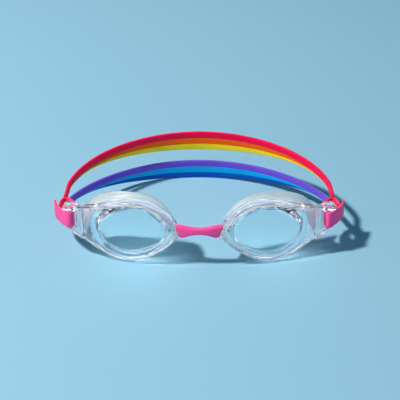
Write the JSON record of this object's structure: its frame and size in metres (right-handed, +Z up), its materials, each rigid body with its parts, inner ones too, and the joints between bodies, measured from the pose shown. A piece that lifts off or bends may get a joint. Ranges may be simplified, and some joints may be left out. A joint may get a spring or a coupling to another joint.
{
  "type": "swim goggles",
  "caption": "Swim goggles with clear lenses and frames, soft silicone seals, a flexible nose bridge and a split rainbow-coloured strap that wraps a post at each temple.",
  "frame": {"origin": "centre of the goggles on the surface they stand on, halfway between the nose bridge's front and the strap's back", "axes": "+X towards the goggles' right-hand cup as seen from the front, -Y the way the lenses face, +Z up"},
  "size_m": [0.1614, 0.0876, 0.0373],
  "materials": {
    "clear_plastic": "clear moulded plastic, polished",
    "clear_lens": "clear moulded polycarbonate, polished",
    "seal_silicone": "translucent milky silicone, satin",
    "pink_silicone": "satin silicone",
    "red_silicone": "satin silicone",
    "orange_silicone": "satin silicone",
    "yellow_silicone": "satin silicone",
    "purple_silicone": "satin silicone",
    "light_blue_silicone": "satin silicone",
    "dark_blue_silicone": "satin silicone"
  },
  "bodies": {
    "bridge": {"nose_bridge": "pink_silicone"},
    "left_cup": {"frame_left": "clear_plastic", "lens_left": "clear_lens", "seal_left": "seal_silicone", "temple_clip_left": "clear_plastic"},
    "right_cup": {"frame_right": "clear_plastic", "lens_right": "clear_lens", "seal_right": "seal_silicone", "temple_clip_right": "clear_plastic"},
    "strap_ends": {"strap_end_left": "pink_silicone", "strap_end_right": "pink_silicone", "upper_root_left": "red_silicone", "upper_root_right": "red_silicone", "lower_root_left": "purple_silicone", "lower_root_right": "purple_silicone"},
    "upper_band": {"upper_band_red": "red_silicone", "upper_band_orange": "orange_silicone", "upper_band_yellow": "yellow_silicone"},
    "lower_band": {"lower_band_purple": "purple_silicone", "lower_band_light_blue": "light_blue_silicone", "lower_band_dark_blue": "dark_blue_silicone"}
  },
  "joints": [
    {"name": "left_cup_flex", "type": "hinge", "parent": "bridge", "child": "left_cup", "pos_m": [-0.01175, -0.04024, 0.02404], "axis": [0, 0.1564, 0.9877], "range_deg": [-3, 3], "stiffness_Nm_per_rad": 0.15},
    {"name": "right_cup_flex", "type": "hinge", "parent": "bridge", "child": "right_cup", "pos_m": [0.01175, -0.04024, 0.02404], "axis": [0, 0.1564, 0.9877], "range_deg": [-3.1, 3.1], "stiffness_Nm_per_rad": 0.15},
    {"name": "strap_ends_shift", "type": "slide", "parent": "bridge", "child": "strap_ends", "axis": [0, 0.9877, -0.1564], "range_m": [-0.0033, 0.0033]},
    {"name": "upper_band_swing", "type": "hinge", "parent": "strap_ends", "child": "upper_band", "pos_m": [0, -0.01231, 0.0215], "axis": [1, 0, 0], "range_deg": [-4, 50], "stiffness_Nm_per_rad": 0.25, "deforming": ["upper_root_left", "upper_root_right"]},
    {"name": "lower_band_swing", "type": "hinge", "parent": "strap_ends", "child": "lower_band", "pos_m": [0, -0.01231, 0.0215], "axis": [1, 0, 0], "range_deg": [-30, 3], "stiffness_Nm_per_rad": 0.25, "deforming": ["lower_root_left", "lower_root_right"]}
  ],
  "couplings": [
    {"joint": "right_cup_flex", "follows": "left_cup_flex", "ratio": -1},
    {"joint": "strap_ends_shift", "follows": "left_cup_flex", "m_per_rad": -0.0603}
  ]
}
